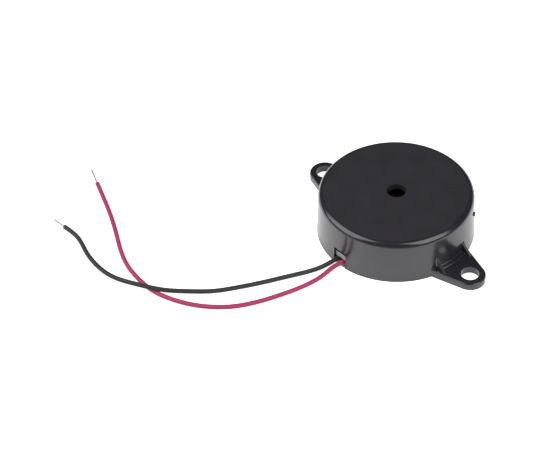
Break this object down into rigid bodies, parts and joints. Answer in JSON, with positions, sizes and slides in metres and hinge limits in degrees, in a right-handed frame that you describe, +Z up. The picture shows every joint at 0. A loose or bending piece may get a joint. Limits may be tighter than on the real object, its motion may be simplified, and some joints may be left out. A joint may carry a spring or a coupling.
{
  "type": "piezo buzzer",
  "caption": "Round black piezo buzzer with a screw ear on each side, a sound hole in its top and a red and a black lead with stripped ends, for alarms and signals.",
  "frame": {"origin": "centre of the round housing's base, in the plane that the housing and its ears rest on", "axes": "+X through the two ear holes, -Y out of the lead exit, +Z up out of the sound hole"},
  "size_m": [0.0771, 0.0652, 0.0095],
  "materials": {
    "housing_plastic": "black moulded plastic, glossy wall and fine-grained top face",
    "cover_plastic": "black moulded plastic, fine grain",
    "brass_sheet": "thin rolled brass, faint rolling lines",
    "piezo": "fired cream-grey ceramic, fine grain",
    "silver_paint": "fired silver paint, matte with a screen-print texture",
    "silicone": "translucent white silicone",
    "board_laminate": "tan paper laminate",
    "copper_foil": "etched copper foil with flux haze",
    "moulding_compound": "black moulding compound",
    "tinned_metal": "tinned, satin",
    "resistor_ceramic": "black glazed chip ceramic",
    "black_wire": "thin insulation, slight sheen",
    "red_wire": "thin insulation, slight sheen",
    "blue_wire": "thin insulation, slight sheen",
    "solder": "bright solder with a frosted grain",
    "red_insulation": "soft crimson vinyl, slight sheen",
    "black_insulation": "soft black vinyl, slight sheen",
    "tinned_strands": "tinned copper strands, twisted"
  },
  "bodies": {
    "root": {"housing": "housing_plastic", "back_cover": "cover_plastic", "diaphragm": "brass_sheet", "piezo_ceramic": "piezo", "main_electrode": "silver_paint", "feedback_electrode": "silver_paint", "disc_adhesive": "silicone", "circuit_board": "board_laminate", "copper_pads": "copper_foil", "transistor_body": "moulding_compound", "transistor_legs": "tinned_metal", "resistor_bodies": "resistor_ceramic", "resistor_ends": "tinned_metal", "ground_wire": "black_wire", "main_wire": "red_wire", "feedback_wire": "blue_wire", "disc_joints": "solder", "board_joints": "solder", "lead_joints": "solder", "red_lead": "red_insulation", "red_lead_tip": "tinned_strands", "red_lead_root": "tinned_strands", "black_lead": "black_insulation", "black_lead_tip": "tinned_strands", "black_lead_root": "tinned_strands"}
  },
  "joints": []
}
